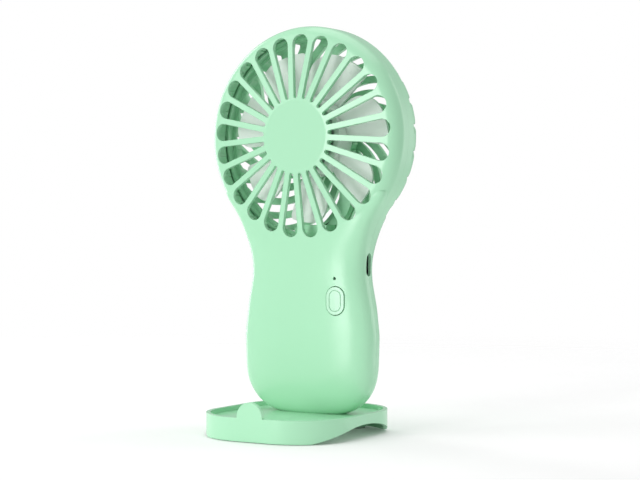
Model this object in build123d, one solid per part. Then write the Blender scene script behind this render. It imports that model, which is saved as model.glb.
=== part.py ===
"""Handheld electric fan standing in its desk tray, as an assembly of separate pieces.

The fan blows towards -Y and the tray stands on Z = 0, centred on the origin.  Pieces of the fan are
modelled about the middle plane of its handle and moved back by FAN_Y to where it stands in the tray.
Angles called "clock" run clockwise from the top, as seen from the front.
"""
from build123d import *
import math
import os

# ---- driving dimensions, mm ---------------------------------------------------------------------
FAN_Y = 11.5            # middle plane of the handle, behind the middle of the tray
WALL = 1.8              # moulded wall thickness of both shells
HEAD_Z = 124.2          # height of the fan's axis above the table
HEAD_R = 46.3           # outer radius of the head
DUCT_R = 44.1           # inner radius of the head's wall
COLLAR_IN = 45.1        # inner radius of the rear shell's collar, round the cover's bayonet
DISC_R = 14.8           # closed disc in the middle of the front grille
DISC_Y = -13.6          # front of that disc
FACE_Y = -9.3           # flat front of the handle and outer ring of the grille
BACK_Y = 11.2           # back of the handle
EDGE_R = 6.0            # rounding of the head's front edge
SLOTS = 25              # slots in the front grille, and spiral ribs in the rear one
SLOT_OUT = 42.6         # outer end of each slot
SLOT_IN = 15.6          # inner end of each slot
RIB_W = 2.4             # width of the straight ribs between the slots

NECK_Z = 69.0           # height of the narrowest part of the handle
NECK_W = 27.5           # half-width there
BELLY_Z = 36.0          # height of the widest part of the handle
BELLY_W = 31.2          # half-width there
FLOOR_Z = 7.9           # floor of the tray, on which the handle stands
FOOT_R = 19.0           # rounding of the handle's lower corners, seen from the front
FOOT_TURN = 12.0        # slope, in degrees, at which the rounding meets the flat underside

SEAM_Y = 4.6            # back edge of the head's collar, where the rear cover starts
REAR_Y = 14.0           # back of the rear cover
COVER_R = 45.2          # rim of the rear cover, behind the collar
CAGE_R = 44.3           # ribs of the rear cover where they leave the rim
CAGE_TURN = 5.0         # rounding of those ribs' shoulders
CAGE_T = 2.4            # thickness of the ribs
HUB_R = 17.0            # impeller hub
TIP_R = 36.3            # blade tips
BLADES = 7
CUP_R = 16.8            # fixed motor cup behind the hub

LEAD_R = 0.45           # insulated leads
SHAFT_R = 1.0
FIT = 0.04              # radial clearance of a running fit
CAN_R = 12.2            # motor can
CAN_FRONT = -2.4
CAN_BACK = 8.8

BUTTON_X = 16.6
BUTTON_Z = 55.6
BUTTON_W = 7.9
BUTTON_H = 11.6
BUTTON_GAP = 0.3
BUTTON_RISE = 0.35      # how far the button stands out of the handle
LED_X = 16.2
LED_Z = 64.9
PORT_Z = 70.5
PORT_LENGTH = 9.5
PORT_WIDTH = 3.7

TRAY_W = 65.0
TRAY_D = 74.0
TRAY_R = 24.5
TRAY_TOP = 9.8
TRAY_WALL = 1.8
PAD_T = 0.8             # rubber feet, whose undersides are on the table
SKIRT_Z = 0.3           # bottom edge of the tray's skirt, just clear of the table
SPIGOT_W = 30.0
SPIGOT_T = 7.6
SPIGOT_H = 5.0
SPIGOT_GAP = 0.35

HEAD = Pos(0, 0, HEAD_Z)
parts = {}


# ---- helpers ------------------------------------------------------------------------------------
def slab(sketch, y0, y1):
    """A sketch drawn in X and Z, made solid between two depths."""
    return extrude(Plane.XZ.offset(-y1) * sketch, amount=y1 - y0)


def ycyl(radius, y0, y1, x=0.0, z=0.0):
    return slab(Pos(x, z) * Circle(radius), y0, y1)


def ytube(outer, inner, y0, y1, x=0.0, z=0.0):
    return slab(Pos(x, z) * (Circle(outer) - Circle(inner)), y0, y1)


def common(first, second):
    """What lies inside both of two solids."""
    return Part() + (first & second)


def block(x0, x1, y0, y1, z0, z1):
    centre = Pos((x0 + x1) / 2, (y0 + y1) / 2, (z0 + z1) / 2)
    return centre * Box(x1 - x0, y1 - y0, z1 - z0)


def turned(*points):
    """A solid turned about the fan's axis from (radius, depth) points joined by straight lines."""
    return revolve(make_face(Polyline(*points, close=True)), axis=Axis.Y)


def clock(radius, degrees):
    """A point in X and Z, by its radius and its angle clockwise from the top."""
    a = math.radians(degrees)
    return (radius * math.sin(a), radius * math.cos(a))


def ring_of(solid, count, start=0.0):
    """Copies of a solid spread evenly about the Y axis, turning clockwise from the front."""
    return [Rot(0, start + 360.0 * i / count, 0) * solid for i in range(count)]


def keep(name, shape, on_fan=True):
    """Put a finished piece in the list, in the assembly's frame."""
    parts[name] = Pos(0, FAN_Y, 0) * shape if on_fan else shape


def pipe(points, radii, radius):
    """A round lead along straight runs joined by arcs."""
    path = FilletPolyline(*points, radius=radii)
    start = Plane(origin=path @ 0, z_dir=path % 0)
    return sweep(start * Circle(radius), path=path)


# ---- handle form --------------------------------------------------------------------------------
# The outline is four tangent arcs: the head, a hollow flare under it, the belly and the lower corner.
FLARE_R = ((HEAD_Z - NECK_Z) ** 2 + NECK_W ** 2 - HEAD_R ** 2) / (2 * (HEAD_R - NECK_W))
BELLY_DROP = NECK_Z - BELLY_Z
BELLY_STEP = BELLY_W - NECK_W
BELLY_R = (BELLY_DROP ** 2 + BELLY_STEP ** 2) / (2 * BELLY_STEP) - FLARE_R
FOOT_Z = FLOOR_Z + FOOT_R * math.cos(math.radians(FOOT_TURN))   # centre height of the lower corner


def half_width(z):
    """Half the width of the handle at a height above the lower corner's centre."""
    split = NECK_Z - BELLY_DROP * FLARE_R / (FLARE_R + BELLY_R)
    if z >= split:
        return NECK_W + FLARE_R - math.sqrt(FLARE_R ** 2 - (z - NECK_Z) ** 2)
    return BELLY_W - BELLY_R + math.sqrt(BELLY_R ** 2 - (z - BELLY_Z) ** 2)


def handle_ring(z, width, front, back, front_square, back_square, count=40):
    """One closed cross-section: a rounded oval, flatter than an ellipse and squarer at the front."""
    points = []
    for i in range(count):
        a = 2 * math.pi * (i + 0.5) / count
        c = math.cos(a)
        s = math.sin(a)
        depth = back if s > 0 else front
        power = 2 / (back_square if s > 0 else front_square)
        points.append((width * math.copysign(abs(c) ** power, c), depth * math.copysign(abs(s) ** power, s), z))
    return Wire([Spline(*points, periodic=True)])


def handle_form(inset=0.0):
    """The whole handle as a solid, from its foot up into the head, drawn in by a wall thickness."""
    front = -FACE_Y - inset
    back = BACK_Y - inset
    corner = FOOT_R - inset
    wide = half_width(FOOT_Z) - FOOT_R
    rings = []
    for turn in (FOOT_TURN, 24, 38, 52, 68):
        a = math.radians(turn)
        thick = 0.36 + 0.64 * math.sin(a) ** 0.9
        z = FOOT_Z - corner * math.cos(a)
        square = 2.5 + 0.6 * math.sin(a) ** 2
        rings.append(handle_ring(z, wide + corner * math.sin(a), front * thick, back * thick, square, 2.5))
    for z in (FOOT_Z + 1, 36, 46, 56, 64, 72, 80, 88, 95, 101):
        back_square = 2.7 + max(0.0, z - 70.0) * 0.09
        front_square = back_square + 0.6 + max(0.0, z - 74.0) * 0.1
        rings.append(handle_ring(z, half_width(min(z, 99.0)) - inset, front, back, front_square, back_square))
    return Part() + Solid.make_loft(rings)


# ---- head form ----------------------------------------------------------------------------------
def head_form(inset=0.0):
    """The front of the head, turned about the fan's axis: a disc, a shallow cone and a rounded edge."""
    lean = math.atan2(FACE_Y - DISC_Y, SLOT_OUT - DISC_R)
    disc = DISC_R - inset * math.tan(lean / 2)
    cone = inset / math.cos(lean) - inset
    outer = HEAD_R - inset
    edge = max(EDGE_R - inset, 0.5)
    near = (disc, DISC_Y + inset)
    far = (outer - edge * (1 - math.sin(lean)), FACE_Y + inset + cone)
    rim = (outer, far[1] + edge * math.cos(lean))
    halfway = math.radians(45) - lean / 2
    bend = (outer - edge + edge * math.cos(halfway), rim[1] - edge * math.sin(halfway))
    outline = [Line((0, DISC_Y + inset), near), Line(near, far), ThreePointArc(far, bend, rim),
               Line(rim, (outer, 0)), Line((outer, 0), (0, 0)), Line((0, 0), (0, DISC_Y + inset))]
    return HEAD * revolve(make_face(outline), axis=Axis.Y)


def tapered_slot(inner, outer, rib):
    """A slot between two straight ribs, widening outwards, with round ends, about the +Z direction."""
    s = math.sin(math.pi / SLOTS)
    c = math.cos(math.pi / SLOTS)
    ends = []
    for radius in ((inner - rib / 2) / (1 - s), (outer + rib / 2) / (1 + s)):
        ends.append((radius, radius * s - rib / 2))
    (z0, r0), (z1, r1) = ends
    low = [(r0 * c, z0 - r0 * s), (0, z0 - r0), (-r0 * c, z0 - r0 * s)]
    high = [(-r1 * c, z1 - r1 * s), (0, z1 + r1), (r1 * c, z1 - r1 * s)]
    return make_face([ThreePointArc(*low), Line(low[2], high[0]), ThreePointArc(*high),
                      Line(high[2], low[0])])


def handle_cavity(room, posts):
    """The space inside the handle, clear of the head, of the turning cover and of what is moulded in."""
    room = room - HEAD * ycyl(HEAD_R - 0.1, -20, 20)
    room = room - HEAD * ycyl(COVER_R + 1.9 + WALL, SEAM_Y - WALL, 20)
    socket_wall = SPIGOT_W / 2 + WALL
    room = room - block(-socket_wall, socket_wall, -20, 20, FLOOR_Z, FLOOR_Z + SPIGOT_H + 2.2)
    for x, z in SCREWS:
        room = room - ycyl(2.6, -20, 20, x, z)
    return room - posts


def pill(width, height):
    return SlotOverall(height, width, rotation=90)


SCREWS = [(-20.5, 27.0), (20.5, 27.0), (-20.0, 79.0), (20.0, 79.0)]
PCB_SCREWS = [(-10.5, 67.5), (-10.5, 49.0)]


# ---- shells -------------------------------------------------------------------------------------
def front_shell(outer, room):
    """Front grille, head wall and front half of the handle, moulded as one."""
    shell = common(outer, block(-60, 60, -30, 0, 0, 110)) + head_form()
    board_posts = [ycyl(2.0, -20, -2.6, x, z) for x, z in PCB_SCREWS]
    shell = shell - handle_cavity(room, board_posts)
    shell = shell - common(head_form(WALL), HEAD * ycyl(DUCT_R, -20, 0))
    slot = slab(tapered_slot(SLOT_IN, SLOT_OUT, RIB_W), -20, FACE_Y + 3.5)
    shell = shell - [HEAD * s for s in ring_of(slot, SLOTS)]
    ridge = slab(Pos(0, 14.45) * Rectangle(0.7, 0.9), DISC_Y + WALL - 0.1, -7.6)
    skirt = ytube(14.2, 12.8, DISC_Y + WALL - 0.1, -7.6) + ring_of(ridge, 36)
    shell = shell + HEAD * skirt
    hatch = slab(Pos(0, DUCT_R - 0.1) * Rectangle(1.2, 0.7), FACE_Y + 3.2, -0.6)
    shell = shell + [HEAD * h for h in ring_of(hatch, 60, 3.0)]
    key_hole = pill(BUTTON_W + 2 * BUTTON_GAP, BUTTON_H + 2 * BUTTON_GAP)
    holes = [slab(Pos(BUTTON_X, BUTTON_Z) * key_hole, -12, -3), ycyl(0.65, -12, -3, LED_X, LED_Z)]
    holes = holes + [ycyl(0.95, -5.2, 1, x, z) for x, z in SCREWS]
    holes = holes + [ycyl(0.7, -6.0, -2, x, z) for x, z in PCB_SCREWS]
    return shell - holes - socket_hole() - port_hole() - lead_notch()


def rear_shell(outer, room):
    """Back half of the handle with the collar that the rear cover twists into."""
    shell = common(outer, block(-60, 60, 0, 30, 0, 110))
    shell = shell - HEAD * ycyl(COVER_R + 1.9, SEAM_Y, 20) + HEAD * ycyl(HEAD_R, 0, SEAM_Y)
    arm_posts = [ycyl(2.2, 0, 20, x, ARM_SCREW_Z) for x in ARM_SCREW_X]
    shell = shell - handle_cavity(room, arm_posts) - HEAD * ycyl(COLLAR_IN, -1, 20)
    lug = slab(Pos(0, COLLAR_IN) * Rectangle(8.4, 1.8), 2.5, 3.8)
    band = ytube(COLLAR_IN + 0.4, COLLAR_IN - 0.75, 2.5, 3.8)
    lugs = [common(Rot(0, 276.0 + 72.0 * i, 0) * lug, band) for i in range(5)]
    shell = shell + [HEAD * tab for tab in lugs]
    holes = [ycyl(1.15, -1, 20, x, z) + ycyl(2.1, 3.0, 20, x, z) for x, z in SCREWS]
    holes = holes + [ycyl(0.7, -2, 5.0, x, ARM_SCREW_Z) for x in ARM_SCREW_X]
    return shell - holes - socket_hole() - port_hole()


def socket_hole():
    """Blind hole in the foot, over the tray's spigot."""
    width = SPIGOT_W + 2 * SPIGOT_GAP
    hole = Pos(0, 0, FLOOR_Z - 1) * extrude(SlotOverall(width, SPIGOT_T + 2 * SPIGOT_GAP), amount=1)
    return hole + Pos(0, 0, FLOOR_Z) * extrude(SlotOverall(width, SPIGOT_T + 2 * SPIGOT_GAP),
                                               amount=SPIGOT_H + SPIGOT_GAP)


def port_hole():
    """Upright slot in the side of the neck, in front of the charging connector."""
    face = Plane.YZ * SlotOverall(PORT_LENGTH, PORT_WIDTH, rotation=90)
    return Pos(22, 0, PORT_Z) * extrude(face, amount=12)


def lead_notch():
    """Opening at the foot of the head's wall, for the motor bracket's tongue and the leads."""
    return block(-7.6, 7.6, -2.6, 0.1, 76.0, 84.5)


# ---- rear cover ---------------------------------------------------------------------------------
def spiral_point(radius, start):
    """Ribs lean clockwise on their way out, more so towards the rim."""
    return clock(radius, start + 7.0 + 1.55 * (radius - 20.0) + 0.008 * (radius - 20.0) ** 2)


def spiral_side(start, offset, inner, outer):
    """One side of a curved rib: points at a set distance from its middle line."""
    points = []
    for i in range(7):
        radius = inner + (outer - inner) * i / 6
        x0, z0 = spiral_point(radius - 0.05, start)
        x1, z1 = spiral_point(radius + 0.05, start)
        length = math.hypot(x1 - x0, z1 - z0)
        x, z = spiral_point(radius, start)
        points.append((x + (z1 - z0) / length * offset, z - (x1 - x0) / length * offset))
    return points


def spiral_gap(start, inner, outer, width):
    """The opening between one curved rib and the next one clockwise."""
    first = spiral_side(start, width / 2, inner, outer)
    second = spiral_side(start + 360.0 / SLOTS, -width / 2, inner, outer)
    return make_face([Spline(*first), Line(first[-1], second[-1]), Spline(*second), Line(second[0], first[0])])


def cage_form(inset):
    """The cover's ribs before they are parted: a shallow bowl with a rounded shoulder."""
    side = CAGE_R - inset
    back = REAR_Y - inset
    turn = CAGE_TURN - inset
    inward = (1 - math.sqrt(0.5)) * turn
    outline = [Line((0, SEAM_Y + 0.2), (side, SEAM_Y + 0.2)), Line((side, SEAM_Y + 0.2), (side, back - turn)),
               ThreePointArc((side, back - turn), (side - inward, back - inward), (side - turn, back)),
               Line((side - turn, back), (0, back)), Line((0, back), (0, SEAM_Y + 0.2))]
    return revolve(make_face(outline), axis=Axis.Y)


def rear_cover():
    """Twist-off rear cage of curved ribs, whose shoulders stand round the rim, with five bayonet lugs."""
    cover = cage_form(0) - cage_form(CAGE_T)
    gap = slab(spiral_gap(0.0, 16.6, CAGE_R + 0.8, 3.0), SEAM_Y + 1.4, REAR_Y + 1)
    cover = cover - ring_of(gap, SLOTS)
    cover = cover + ytube(COVER_R, 43.2, SEAM_Y + 0.2, SEAM_Y + 1.4) + ytube(44.05, 43.2, 0.8, SEAM_Y + 1.4)
    lug = slab(Pos(0, 43.6) * Rectangle(8.4, 3.0), 0.8, 2.3)
    cover = cover + [common(Rot(0, 276.0 + 72.0 * i, 0) * lug, ytube(44.8, 43.4, 0.8, 2.3)) for i in range(5)]
    return HEAD * cover


# ---- motor bracket ------------------------------------------------------------------------------
ARM_SCREW_X = (-5.0, 5.0)
ARM_SCREW_Z = 74.5
ARM_BACK = 9.0
MOTOR_LEADS = [(6.2, 0.65), (-6.2, -0.65)]      # offset of the terminal, and of the lead in the channel


def arm_outline(root, tip):
    """Wide arm that curves from the cup to the foot of the head, between two half-angles."""
    right = [clock(15.5, 137 - root), clock(28, 151 - (root + tip) / 2 * 0.8), clock(40.5, 176 - tip)]
    left = [clock(40.5, 176 + tip), clock(28, 151 + (root + tip) / 2 * 0.8), clock(15.5, 137 + root)]
    return make_face([ThreePointArc(*right), Line(right[2], left[0]), ThreePointArc(*left),
                      Line(left[2], right[0])])


def motor_bracket():
    """Ribbed motor cup held out by one wide arm, whose channel carries the motor's leads."""
    cup = ytube(CUP_R, CAN_R + FIT, 5.4, ARM_BACK + 0.6) + ycyl(CUP_R, ARM_BACK - 0.1, ARM_BACK + 0.6)
    cup = cup - ycyl(9.4, ARM_BACK - 1, ARM_BACK + 1)
    ridge = slab(Pos(0, CUP_R) * Rectangle(0.9, 0.8), 5.6, ARM_BACK + 0.4)
    cup = cup + ring_of(ridge, 36)
    arm = slab(arm_outline(14.0, 6.0), 5.6, ARM_BACK) - ycyl(15.6, 0, 20)
    arm = arm - slab(arm_outline(8.0, 3.0), 7.0, 20)
    post = slab(Pos(2.9, -38.4) * Rectangle(11.0, 2.4), -2.2, ARM_BACK)
    post = post - slab(Pos(2.9, -38.1) * Rectangle(3.4, 1.4), -1.7, 20)
    tongue = slab(Pos(0, (ARM_SCREW_Z - 2.6 - HEAD_Z - 38.0) / 2) * Rectangle(
        14.4, HEAD_Z - 38.0 - ARM_SCREW_Z + 2.6), -2.2, 0)
    exit_notch = slab(Rot(0, 0, -137) * (Pos(0, 13) * Rectangle(4.6, 9.0)), ARM_BACK - 0.2, 20)
    well = slab(Pos(2.9, -37.4) * Rectangle(5.0, 2.8), 7.0, 20)
    bracket = HEAD * (cup + arm + post + tongue - exit_notch - well)
    bracket = bracket - block(-2.2, 2.2, -4, 1, 70, 78)
    for x in ARM_SCREW_X:
        bracket = bracket - ycyl(0.95, -5, 1, x, ARM_SCREW_Z)
    for start, side in MOTOR_LEADS:
        bracket = bracket - motor_lead(start, side, 0.15)
    return bracket


# ---- impeller and motor -------------------------------------------------------------------------
def blade():
    """One twisted blade about the top of the hub: its front edge is its anticlockwise one."""
    sections = []
    for i in range(9):
        t = i / 8
        y = -5.0 + 8.2 * t
        a = -25.0 + 46.0 * t
        face = Plane.XY * Pos(26.4, y) * Rectangle(21.6, 1.3)
        sections.append(Rot(0, a - 90.0, 0) * face)
    swept = loft(sections)
    front_tip = clock(TIP_R, -22.0)
    rear_tip = clock(TIP_R, 19.0)
    plan = make_face([Line((0, 0), front_tip), ThreePointArc(front_tip, clock(TIP_R, -2.0), rear_tip),
                      Line(rear_tip, (0, 0))])
    for tip, radius in ((front_tip, 9.0), (rear_tip, 2.0)):
        plan = fillet(plan.vertices().sort_by_distance(tip + (0,))[0], radius)
    return common(swept, slab(plan, -8, 8))


def impeller():
    """Seven-blade impeller: an open-fronted hub cup with a web and a boss on the shaft."""
    hub = ytube(HUB_R, 15.2, -6.6, 4.8) + ytube(HUB_R + 0.4, 15.0, -7.0, -6.2)
    hub = hub + ycyl(15.4, -4.6, -3.2) + ycyl(3.4, -6.2, -3.0)
    hub = hub - ycyl(SHAFT_R, -5.6, 0)
    spoke = slab(Pos(0, 9.2) * Rectangle(1.0, 12.4), -5.4, -4.5)
    hub = hub + ring_of(spoke, 6, 30)
    one = blade() - ycyl(16.2, -20, 20)
    return HEAD * (hub + ring_of(one, BLADES, 26.0))


def motor_can():
    can = ytube(CAN_R, CAN_R - 0.7, CAN_FRONT, CAN_BACK - 1.0) + ytube(CAN_R, 2.2, CAN_FRONT, CAN_FRONT + 0.7)
    can = can + ytube(3.1, 2.2, CAN_FRONT - 0.3, CAN_FRONT)
    return HEAD * can


def magnets():
    """Two magnet arcs against the inside of the can."""
    tube = ytube(CAN_R - 0.72, CAN_R - 2.3, CAN_FRONT + 1.6, CAN_BACK - 2.0)
    return [HEAD * common(tube, block(x, x + 18.4, -20, 20, -20, 20)) for x in (-20.0, 1.6)]


def end_cap():
    cap = ycyl(CAN_R, CAN_BACK - 1.0, CAN_BACK) - ycyl(1.9, 0, 20)
    for z in (-6.2, 6.2):
        cap = cap - slab(Pos(0, z) * Rectangle(2.4, 0.7), 0, 20)
    return HEAD * cap


def brushes():
    """Two sprung arms that run from the terminals in to the commutator."""
    arms = []
    for s in (-1, 1):
        strip = slab(Pos(0, s * 4.1) * Rectangle(1.6, 3.6), CAN_BACK - 1.6, CAN_BACK - 1.25)
        pad = slab(Pos(0, s * 2.65) * Rectangle(1.4, 0.6), CAN_BACK - 3.0, CAN_BACK - 1.6)
        arms.append(HEAD * (strip + pad))
    return arms


def terminals():
    """Two tabs through the end cap, for the leads."""
    tabs = []
    for s in (-1, 1):
        tabs.append(HEAD * slab(Pos(0, s * 6.2) * Rectangle(2.2, 0.5), CAN_BACK - 1.6, CAN_BACK + 1.1))
    return tabs


def armature():
    """Three-pole laminated core on the shaft."""
    pole = slab(Pos(0, 4.6) * Rectangle(2.6, 6.0), -0.2, 4.4)
    shoe = slab((Circle(9.3) - Circle(7.6)) & (Pos(0, 9) * Rectangle(12.6, 9)), -0.2, 4.4)
    core = ycyl(2.6, -0.2, 4.4) + ring_of(pole, 3) + ring_of(shoe, 3)
    return HEAD * (core - ycyl(SHAFT_R, -5, 9))


def windings():
    """A coil round each pole."""
    coil = slab(Pos(0, 5.0) * RectangleRounded(6.4, 3.6, 0.6), -1.2, 5.0)
    coil = coil - slab(Pos(0, 5.2) * Rectangle(2.64, 9.0), -0.22, 4.42)
    return [HEAD * Rot(0, 120.0 * i, 0) * coil for i in range(3)]


def bushing(y0, y1):
    return HEAD * ytube(1.85, SHAFT_R + FIT, y0, y1)


# ---- inside the handle --------------------------------------------------------------------------
def circuit_board():
    board = slab(Pos(5.5, 61.0) * RectangleRounded(37.0, 30.0, 2.0), -2.6, -1.6)
    board = board - block(-20, 8.5, -4, 0, 71.0, 80)
    for x, z in PCB_SCREWS:
        board = board - ycyl(0.85, -4, 0, x, z)
    return board


def chips():
    """Parts soldered to the back of the board: charger, controller, inductor and capacitors."""
    spots = [(4.0, 62.0, 4.0, 5.0, 1.2), (-3.5, 62.0, 4.0, 4.0, 1.0), (13.5, 71.5, 4.6, 4.6, 2.0),
             (11.0, 65.0, 1.6, 0.9, 0.8), (11.0, 62.8, 1.6, 0.9, 0.8), (-3.5, 67.5, 1.6, 0.9, 0.8)]
    return [block(x - w / 2, x + w / 2, -1.6, -1.6 + t, z - h / 2, z + h / 2) for x, z, w, h, t in spots]


def usb_connector():
    """Upright reversible charging socket at the edge of the board."""
    body = Plane.YZ * SlotOverall(8.9, 3.2, rotation=90)
    mouth = Plane.YZ * SlotOverall(8.3, 2.56, rotation=90)
    shell = extrude(body, amount=7.2) - Pos(1.2, 0, 0) * extrude(mouth, amount=7)
    tongue = Pos(1.0, 0, 0) * extrude(Plane.YZ * Rectangle(0.7, 6.6), amount=4.6)
    return Pos(19.2, 0, PORT_Z) * (shell + tongue)


def button_cap(proud):
    """Pill-shaped key that follows the handle's surface, with a shallow groove and a retaining flange."""
    cap = common(slab(Pos(BUTTON_X, BUTTON_Z) * pill(BUTTON_W, BUTTON_H), -12, -4.7), proud)
    groove = pill(BUTTON_W - 2.6, BUTTON_H - 2.6) - pill(BUTTON_W - 3.1, BUTTON_H - 3.1)
    for z in (BUTTON_Z - 5.3, BUTTON_Z + 5.3):
        cap = cap + block(BUTTON_X - 2.3, BUTTON_X + 0.7, -4.9, -4.2, z - 1.25, z + 1.25)
    return cap, slab(Pos(BUTTON_X, BUTTON_Z) * groove, -12, -3)


PADS = [(-12.0, -29.0), (12.0, -29.0), (-12.0, 29.0), (12.0, 29.0)]


def base_tray():
    """Skirted tray with a front tab, a low rim, arched sides and a spigot for the handle."""
    plan = RectangleRounded(TRAY_W, TRAY_D, TRAY_R)
    inner = RectangleRounded(TRAY_W - 2 * TRAY_WALL, TRAY_D - 2 * TRAY_WALL, TRAY_R - TRAY_WALL)
    tray = Pos(0, 0, SKIRT_Z) * extrude(plan, amount=TRAY_TOP - SKIRT_Z)
    tray = tray - Pos(0, 0, FLOOR_Z) * extrude(inner, amount=5)
    tray = tray - extrude(inner, amount=FLOOR_Z - TRAY_WALL)
    side = make_face([Spline((-33.5, -0.6), (-23.0, 2.2), (-8.5, 5.2), (1.5, 5.7), (9.5, 5.2),
                             (18.0, 3.6), (26.5, 1.0), (31.0, -0.6)),
                      Line((31.0, -0.6), (-33.5, -0.6))])
    tray = tray - Pos(-40, 0, 0) * extrude(Plane.YZ * side, amount=80)
    tab = slab(Pos(0, 10.2) * Circle(6.0) + Pos(0, 7.2) * Rectangle(12.0, 6.0), -TRAY_D / 2,
               -TRAY_D / 2 + TRAY_WALL)
    tray = tray + tab
    spigot = Pos(0, FAN_Y, FLOOR_Z) * extrude(SlotOverall(SPIGOT_W, SPIGOT_T), amount=SPIGOT_H)
    tray = tray + spigot
    tray = tray - Pos(0, FAN_Y, FLOOR_Z - 2) * extrude(SlotOverall(SPIGOT_W - 3, SPIGOT_T - 3),
                                                       amount=SPIGOT_H + 0.6)
    for x, y in PADS:
        tray = tray + Pos(x, y, PAD_T) * extrude(Circle(3.8), amount=FLOOR_Z - TRAY_WALL - PAD_T + 0.1)
    return tray


def lead(points, grown=0.0):
    """A round lead whose bends are as wide as its straight runs allow."""
    radii = []
    for before, here, after in zip(points, points[1:], points[2:]):
        arrive = Vector(*here) - Vector(*before)
        leave = Vector(*after) - Vector(*here)
        half_turn = math.radians(arrive.get_angle(leave)) / 2
        radii.append(0.45 * min(arrive.length, leave.length) / math.tan(half_turn))
    return pipe(points, radii, LEAD_R + grown)


def motor_lead(start, side, grown=0.0):
    """From a terminal, along the arm's channel, through its post and tongue, down to the board."""
    low = HEAD_Z
    points = [(1.7, 9.3, low + start), (5.8, 9.3, low - 3.6 + (start + 6.2) * 0.25),
              (10.6 + side, 9.3, low - 12.8), (13.0 + side, 8.2, low - 17.6),
              (13.2 + side, 8.2, low - 25.0), (9.2 + side, 8.2, low - 33.4 - side / 2),
              (2.9 + side, 7.9, low - 38.1 - side / 2), (2.9 + side, -1.1, low - 38.3 - side / 2),
              (2.6 + side, -1.1, 78.0), (2.3 + side, -1.1, 69.0)]
    return lead(points, grown)


def battery_lead(x):
    """From the top of the cell up and across to the back of the board."""
    return lead([(x, 3.5, 66.5), (x, 3.5, 69.6), (x, -1.6, 69.6)])


def self_tapper(x, z, head_y, tip_y, shank, head):
    """Screw driven forwards from the back, with a cross recess."""
    step = 1.2 if head_y > tip_y else -1.2
    low, high = sorted((tip_y, head_y))
    screw = ycyl(shank, low, high, x, z)
    low, high = sorted((head_y, head_y + step))
    screw = screw + ycyl(head, low, high, x, z)
    low, high = sorted((head_y + step * 0.4, head_y + step * 1.1))
    return screw - slab(Pos(x, z) * (Rectangle(head * 1.1, 0.5) + Rectangle(0.5, head * 1.1)), low, high)


def build():
    outer = handle_form()
    room = handle_form(WALL)
    keep("front_shell", front_shell(outer, room))
    keep("rear_shell", rear_shell(outer, room))
    keep("rear_cover", rear_cover())
    keep("motor_bracket", motor_bracket())
    keep("impeller", impeller())
    keep("motor_can", motor_can())
    left, right = magnets()
    keep("magnet_left", left)
    keep("magnet_right", right)
    keep("motor_end_cap", end_cap())
    lower, upper = brushes()
    keep("brush_lower", lower)
    keep("brush_upper", upper)
    lower, upper = terminals()
    keep("terminal_lower", lower)
    keep("terminal_upper", upper)
    keep("shaft", HEAD * ycyl(SHAFT_R, -5.6, CAN_BACK + 0.1))
    keep("armature_core", armature())
    for i, coil in enumerate(windings()):
        keep(f"winding_{i + 1}", coil)
    keep("commutator", HEAD * ytube(2.3, SHAFT_R, 5.2, 7.6))
    keep("front_bushing", bushing(CAN_FRONT - 0.3, CAN_FRONT + 1.8))
    keep("rear_bushing", bushing(CAN_BACK - 1.0, CAN_BACK))
    keep("circuit_board", circuit_board())
    for i, chip in enumerate(chips()):
        keep(f"board_part_{i + 1}", chip)
    keep("usb_connector", usb_connector())
    cap, groove = button_cap(handle_form(-BUTTON_RISE))
    keep("button_cap", cap - (groove - handle_form(-BUTTON_RISE + 0.25)))
    switch = block(BUTTON_X - 3, BUTTON_X + 3, -3.9, -2.6, BUTTON_Z - 3, BUTTON_Z + 3)
    keep("button_switch", switch - ycyl(1.6, -4, -3.35, BUTTON_X, BUTTON_Z))
    keep("switch_plunger", ycyl(1.5, -4.7, -3.9, BUTTON_X, BUTTON_Z))
    keep("light_pipe", ycyl(0.6, -8.0, -3.2, LED_X, LED_Z))
    keep("led", block(LED_X - 0.8, LED_X + 0.8, -3.2, -2.6, LED_Z - 0.5, LED_Z + 0.5))
    keep("battery_cell", slab(Pos(0, 42.5) * RectangleRounded(32, 48, 1.5), 0, 7.0))
    keep("motor_lead_red", motor_lead(*MOTOR_LEADS[0]))
    keep("motor_lead_black", motor_lead(*MOTOR_LEADS[1]))
    keep("battery_lead_red", battery_lead(-7.6))
    keep("battery_lead_black", battery_lead(-5.8))
    keep("battery_tape", block(-8, 8, 7.0, 9.0, 26, 58))
    screws = [self_tapper(x, z, 3.0, -5.0, 0.95, 2.0) for x, z in SCREWS]
    keep("body_screws", Compound(screws))
    keep("board_screws", Compound([self_tapper(x, z, -1.6, -5.6, 0.7, 1.5) for x, z in PCB_SCREWS]))
    keep("bracket_screws", Compound([self_tapper(x, ARM_SCREW_Z, -2.2, 4.0, 0.7, 1.5)
                                     for x in ARM_SCREW_X]))
    keep("base_tray", base_tray(), on_fan=False)
    for i, (x, y) in enumerate(PADS):
        keep(f"foot_pad_{i + 1}", Pos(x, y, 0) * extrude(Circle(3.5), amount=PAD_T), on_fan=False)


if __name__ == "__main__":
    os.makedirs("parts", exist_ok=True)
    build()
    for name, shape in parts.items():
        export_step(shape, f"parts/{name}.step")
        print(name, len(shape.solids()), round(shape.volume, 1), shape.is_valid)
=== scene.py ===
"""Looks for the handheld fan in its desk tray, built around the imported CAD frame. Metres, +Z up, the
fan blows towards -Y."""
import math
import bpy
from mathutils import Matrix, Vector

WHITE = (1.0, 1.0, 1.0, 1.0)

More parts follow.
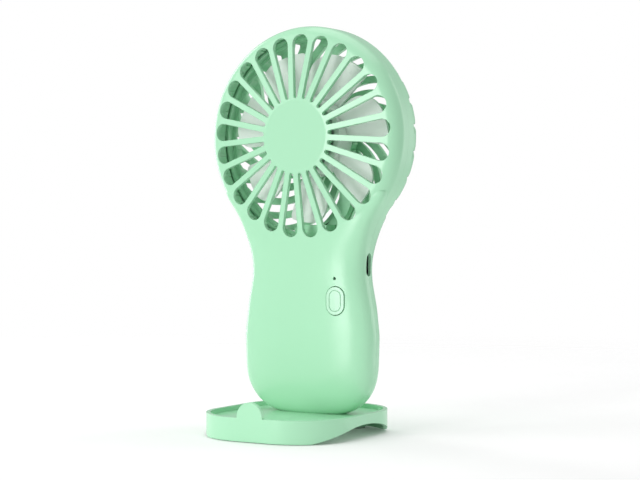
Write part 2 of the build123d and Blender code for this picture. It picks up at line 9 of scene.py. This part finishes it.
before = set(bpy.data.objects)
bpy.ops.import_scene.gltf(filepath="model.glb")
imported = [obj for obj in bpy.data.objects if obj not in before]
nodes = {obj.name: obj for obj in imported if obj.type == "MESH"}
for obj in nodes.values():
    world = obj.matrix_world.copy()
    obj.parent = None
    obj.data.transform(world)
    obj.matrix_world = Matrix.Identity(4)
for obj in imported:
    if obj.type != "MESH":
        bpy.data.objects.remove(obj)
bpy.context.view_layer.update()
scene = bpy.context.scene

# ---- camera ----------------------------------------------------------------------------------------
CAMERA_AT = Vector((0.3735, -0.6068, 0.0912))
AZIMUTH = 31.7              # degrees to the viewer's right of straight in front
TILT = 0.84                 # degrees downwards
LENS = 96.0
SHIFT = 0.039
SENSOR = 36.0
NEAREST = 0.01
FARTHEST = 60.0


def add_camera():
    data = bpy.data.cameras.new("view")
    data.lens = LENS
    data.sensor_width = SENSOR
    data.shift_x = SHIFT
    data.clip_start = NEAREST
    data.clip_end = FARTHEST
    camera = bpy.data.objects.new("view", data)
    camera.location = CAMERA_AT
    camera.rotation_euler = (math.radians(90 - TILT), 0.0, math.radians(AZIMUTH))
    scene.collection.objects.link(camera)
    scene.camera = camera


# ---- light and world -------------------------------------------------------------------------------
AIM = Vector((0.0, 0.0, 0.09))      # the middle of the fan, which every light faces
FILL = 0.46                         # strength of the world's light


def add_light(name, at, width, height, watts):
    data = bpy.data.lights.new(name, "AREA")
    data.shape = "RECTANGLE"
    data.size = width
    data.size_y = height
    data.energy = watts
    light = bpy.data.objects.new(name, data)
    light.location = Vector(at)
    light.rotation_euler = (AIM - Vector(at)).to_track_quat("-Z", "Y").to_euler()
    scene.collection.objects.link(light)


def around(azimuth, height, distance):
    """A place about the fan, by azimuth to the viewer's right of straight in front."""
    a = math.radians(azimuth)
    return (distance * math.sin(a), -distance * math.cos(a), height)


def add_world(strength):
    """A white studio: what the camera sees is plain white, and the fill light is softer."""
    world = bpy.data.worlds.new("studio")
    world.use_nodes = True
    tree = world.node_tree
    tree.nodes.clear()
    out = tree.nodes.new("ShaderNodeOutputWorld")
    seen = tree.nodes.new("ShaderNodeBackground")
    fill = tree.nodes.new("ShaderNodeBackground")
    mix = tree.nodes.new("ShaderNodeMixShader")
    path = tree.nodes.new("ShaderNodeLightPath")
    seen.inputs["Color"].default_value = WHITE
    seen.inputs["Strength"].default_value = 1.0
    fill.inputs["Color"].default_value = WHITE
    fill.inputs["Strength"].default_value = strength
    tree.links.new(path.outputs["Is Camera Ray"], mix.inputs["Fac"])
    tree.links.new(fill.outputs[0], mix.inputs[1])
    tree.links.new(seen.outputs[0], mix.inputs[2])
    tree.links.new(mix.outputs[0], out.inputs["Surface"])
    scene.world = world


def add_lights():
    """A key to the left, a tall strip that draws the handle's highlight, a top light and two rims."""
    add_light("key_softbox", around(-50, 0.75, 1.3), 0.8, 1.0, 3.9)
    add_light("strip_softbox", around(-12, 0.25, 1.2), 0.34, 0.7, 5.4)
    add_light("top_softbox", (0.0, 0.1, 1.3), 1.2, 1.2, 6.8)
    add_light("right_rim", around(142, 0.25, 0.9), 0.35, 1.0, 1.9)
    add_light("left_rim", around(-112, 0.25, 0.9), 0.25, 0.9, 2.4)


# ---- node helpers ----------------------------------------------------------------------------------
class Nodes:
    """A short way to build one material's node tree."""

    def __init__(self, name):
        self.material = bpy.data.materials.new(name)
        self.material.use_nodes = True
        self.tree = self.material.node_tree
        self.tree.nodes.clear()
        self.out = self.add("ShaderNodeOutputMaterial")
        self.shader = self.add("ShaderNodeBsdfPrincipled")
        self.link(self.shader.outputs[0], self.out.inputs["Surface"])
        self.place = self.add("ShaderNodeTexCoord").outputs["Object"]

    def add(self, kind, **values):
        node = self.tree.nodes.new(kind)
        for key, value in values.items():
            setattr(node, key, value)
        return node

    def link(self, source, target):
        self.tree.links.new(source, target)

    def noise(self, scale, detail=2.0, stretch=None):
        node = self.add("ShaderNodeTexNoise")
        node.inputs["Scale"].default_value = scale
        node.inputs["Detail"].default_value = detail
        place = self.place
        if stretch:
            mapping = self.add("ShaderNodeMapping")
            mapping.inputs["Scale"].default_value = stretch
            self.link(place, mapping.inputs["Vector"])
            place = mapping.outputs[0]
        self.link(place, node.inputs["Vector"])
        return node.outputs["Fac"]

    def ramp(self, value, low, high, first=0.3, last=0.7):
        """A number spread over a range, or a mix of two colours where the range is of colours."""
        if isinstance(low, tuple):
            node = self.add("ShaderNodeValToRGB")
            node.color_ramp.elements[0].position = first
            node.color_ramp.elements[1].position = last
            node.color_ramp.elements[0].color = low + (1.0,)
            node.color_ramp.elements[1].color = high + (1.0,)
            self.link(value, node.inputs["Fac"])
            return node.outputs["Color"]
        node = self.add("ShaderNodeMapRange")
        node.inputs["From Min"].default_value = first
        node.inputs["From Max"].default_value = last
        node.inputs["To Min"].default_value = low
        node.inputs["To Max"].default_value = high
        self.link(value, node.inputs["Value"])
        return node.outputs["Result"]

    def bump(self, height, distance, strength=1.0, normal=None):
        node = self.add("ShaderNodeBump")
        node.inputs["Distance"].default_value = distance
        node.inputs["Strength"].default_value = strength
        self.link(height, node.inputs["Height"])
        if normal is not None:
            self.link(normal, node.inputs["Normal"])
        return node.outputs["Normal"]

    def rounded(self, radius):
        node = self.add("ShaderNodeBevel", samples=4)
        node.inputs["Radius"].default_value = radius
        return node.outputs["Normal"]

    def set(self, **values):
        for key, value in values.items():
            self.shader.inputs[key.replace("_", " ")].default_value = value


def shade(colour, factor):
    return tuple(c * factor for c in colour)


def plastic(name, colour, rough, edge=0.0003, grain=0.00002, spread=0.03, tone=0.02):
    """Moulded plastic: fine spark-eroded grain, faint flow tone and softened edges."""
    m = Nodes(name)
    flow = m.noise(28.0, 3.0, (1.0, 1.0, 0.45))
    m.link(m.ramp(flow, shade(colour, 1 - tone), shade(colour, 1 + tone)), m.shader.inputs["Base Color"])
    wear = m.noise(170.0, 4.0)
    m.link(m.ramp(wear, rough - spread, rough + spread), m.shader.inputs["Roughness"])
    normal = m.rounded(edge) if edge else None
    m.link(m.bump(m.noise(5200.0, 1.0), grain, 0.12, normal), m.shader.inputs["Normal"])
    return m


def metal(name, colour, rough, stretch, edge=0.0002):
    """Drawn or rolled metal with a grain that runs one way."""
    m = Nodes(name)
    m.set(Metallic=1.0)
    line = m.noise(900.0, 3.0, stretch)
    m.link(m.ramp(line, shade(colour, 0.88), shade(colour, 1.08)), m.shader.inputs["Base Color"])
    m.link(m.ramp(line, rough - 0.08, rough + 0.08), m.shader.inputs["Roughness"])
    m.link(m.bump(line, 0.00002, 0.5, m.rounded(edge)), m.shader.inputs["Normal"])
    return m


MINT = (0.425, 0.795, 0.530)


def dress(names, m):
    for name in names:
        mesh = nodes[name].data
        mesh.materials.clear()
        mesh.materials.append(m.material)


def add_materials():
    body = plastic("mint_abs", MINT, 0.24, spread=0.012, tone=0.008)
    dress(["front_shell", "rear_shell", "rear_cover", "motor_bracket", "base_tray"], body)
    # The button cap is the mint plastic made paler: a painted highlight, since the button sits in the
    # handle's highlight band.
    key = plastic("mint_key_painted_highlight", (0.50, 0.83, 0.60), 0.24, spread=0.012, tone=0.008)
    dress(["button_cap"], key)
    blades = plastic("pale_pp", (0.95, 0.98, 0.96), 0.30, tone=0.01)
    blades.set(Transmission_Weight=0.05, IOR=1.49)
    dress(["impeller"], blades)
    steel = metal("rolled_steel", (0.62, 0.62, 0.63), 0.32, (0.15, 1.0, 1.0))
    dress(["motor_can", "shaft", "armature_core", "button_switch"], steel)
    screw = metal("zinc_screw", (0.70, 0.70, 0.72), 0.28, (1.0, 0.2, 1.0))
    dress(["body_screws", "board_screws", "bracket_screws"], screw)
    dark = metal("dark_nickel", (0.05, 0.05, 0.052), 0.35, (0.2, 1.0, 1.0))
    dress(["usb_connector"], dark)
    magnet = plastic("sintered_ferrite", (0.05, 0.05, 0.055), 0.6, grain=0.00005)
    dress(["magnet_left", "magnet_right"], magnet)
    black = plastic("black_nylon", (0.018, 0.018, 0.02), 0.45)
    dress(["motor_end_cap", "switch_plunger"], black)
    brass = metal("brass", (0.78, 0.56, 0.25), 0.28, (1.0, 0.2, 1.0))
    dress(["brush_lower", "brush_upper", "terminal_lower", "terminal_upper", "commutator",
           "front_bushing", "rear_bushing"], brass)
    dress([f"winding_{i}" for i in (1, 2, 3)], enamelled_wire())
    dress(["circuit_board"], board())
    chip = plastic("epoxy_chip", (0.02, 0.02, 0.021), 0.5, grain=0.00003)
    dress([f"board_part_{i}" for i in range(1, 7)], chip)
    smoked = plastic("smoked_pmma", (0.06, 0.12, 0.08), 0.14, edge=0.0001)
    smoked.set(Transmission_Weight=0.4, IOR=1.49)
    dress(["light_pipe", "led"], smoked)
    dress(["battery_cell"], pouch())
    foam = plastic("foam_tape", (0.05, 0.05, 0.05), 0.9, grain=0.0002)
    dress(["battery_tape"], foam)
    red = plastic("red_pvc", (0.55, 0.02, 0.02), 0.35, edge=0)
    dress(["motor_lead_red", "battery_lead_red"], red)
    black_cover = plastic("black_pvc", (0.02, 0.02, 0.02), 0.35, edge=0)
    dress(["motor_lead_black", "battery_lead_black"], black_cover)
    pad = plastic("rubber_foot", (0.42, 0.50, 0.45), 0.8, grain=0.00006)
    dress([f"foot_pad_{i}" for i in (1, 2, 3, 4)], pad)


def enamelled_wire():
    m = Nodes("enamelled_wire")
    m.set(Metallic=1.0, Coat_Weight=0.6, Coat_Roughness=0.12)
    wave = m.add("ShaderNodeTexWave", wave_type="BANDS", bands_direction="Y")
    wave.inputs["Scale"].default_value = 900.0
    m.link(m.place, wave.inputs["Vector"])
    m.link(m.ramp(wave.outputs["Fac"], (0.32, 0.10, 0.04), (0.80, 0.36, 0.18), 0.1, 0.9),
           m.shader.inputs["Base Color"])
    m.link(m.ramp(m.noise(300.0), 0.22, 0.34), m.shader.inputs["Roughness"])
    m.link(m.bump(wave.outputs["Fac"], 0.0001), m.shader.inputs["Normal"])
    return m


def board():
    """Green solder mask over copper tracks."""
    m = Nodes("solder_mask")
    m.set(Coat_Weight=0.5, Coat_Roughness=0.15)
    bricks = m.add("ShaderNodeTexBrick")
    bricks.inputs["Scale"].default_value = 260.0
    bricks.inputs["Mortar Size"].default_value = 0.06
    bricks.inputs["Color1"].default_value = (0.012, 0.12, 0.05, 1.0)
    bricks.inputs["Color2"].default_value = (0.014, 0.15, 0.06, 1.0)
    bricks.inputs["Mortar"].default_value = (0.03, 0.24, 0.09, 1.0)
    turn = m.add("ShaderNodeMapping")
    turn.inputs["Rotation"].default_value = (math.radians(90), 0.0, 0.0)
    m.link(m.place, turn.inputs["Vector"])
    m.link(turn.outputs[0], bricks.inputs["Vector"])
    m.link(bricks.outputs["Color"], m.shader.inputs["Base Color"])
    m.link(m.ramp(m.noise(400.0), 0.30, 0.42), m.shader.inputs["Roughness"])
    m.link(m.bump(bricks.outputs["Fac"], 0.00003), m.shader.inputs["Normal"])
    return m


def pouch():
    """Aluminium laminate of a pouch cell, slightly crinkled."""
    m = Nodes("pouch_laminate")
    m.set(Metallic=0.9)
    crinkle = m.noise(220.0, 4.0)
    m.link(m.ramp(crinkle, (0.60, 0.61, 0.62), (0.76, 0.77, 0.78)), m.shader.inputs["Base Color"])
    m.link(m.ramp(crinkle, 0.28, 0.42), m.shader.inputs["Roughness"])
    m.link(m.bump(crinkle, 0.0002, 0.6, m.rounded(0.0006)), m.shader.inputs["Normal"])
    return m


def floor_material(near, far):
    """White paper that fades out, well away from the fan, into the white studio."""
    m = Nodes("studio_floor")
    m.link(m.ramp(m.noise(14.0, 4.0), (0.94, 0.94, 0.94), (0.96, 0.96, 0.96)), m.shader.inputs["Base Color"])
    m.link(m.ramp(m.noise(60.0, 2.0), 0.75, 0.85), m.shader.inputs["Roughness"])
    m.set(Specular_IOR_Level=0.1, Emission_Color=WHITE, Emission_Strength=0.06)
    reach = m.add("ShaderNodeVectorMath", operation="LENGTH")
    m.link(m.place, reach.inputs[0])
    m.link(m.ramp(reach.outputs["Value"], 1.0, 0.0, near, far), m.shader.inputs["Alpha"])
    return m


FLOOR_R = 0.7               # radius of the floor's disc
FLOOR_SIDES = 64
FLOOR_SOLID = 0.15          # where it starts to fade
FLOOR_GONE = 0.6            # where it has faded out


def add_floor():
    turn = 2 * math.pi / FLOOR_SIDES
    rim = [(FLOOR_R * math.cos(i * turn), FLOOR_R * math.sin(i * turn), 0.0) for i in range(FLOOR_SIDES)]
    mesh = bpy.data.meshes.new("studio_floor")
    mesh.from_pydata(rim, [], [tuple(range(FLOOR_SIDES))])
    mesh.materials.append(floor_material(FLOOR_SOLID, FLOOR_GONE).material)
    floor = bpy.data.objects.new("studio_floor", mesh)
    scene.collection.objects.link(floor)


scene.view_settings.view_transform = "Standard"
add_camera()
add_world(FILL)
add_lights()
add_floor()
add_materials()
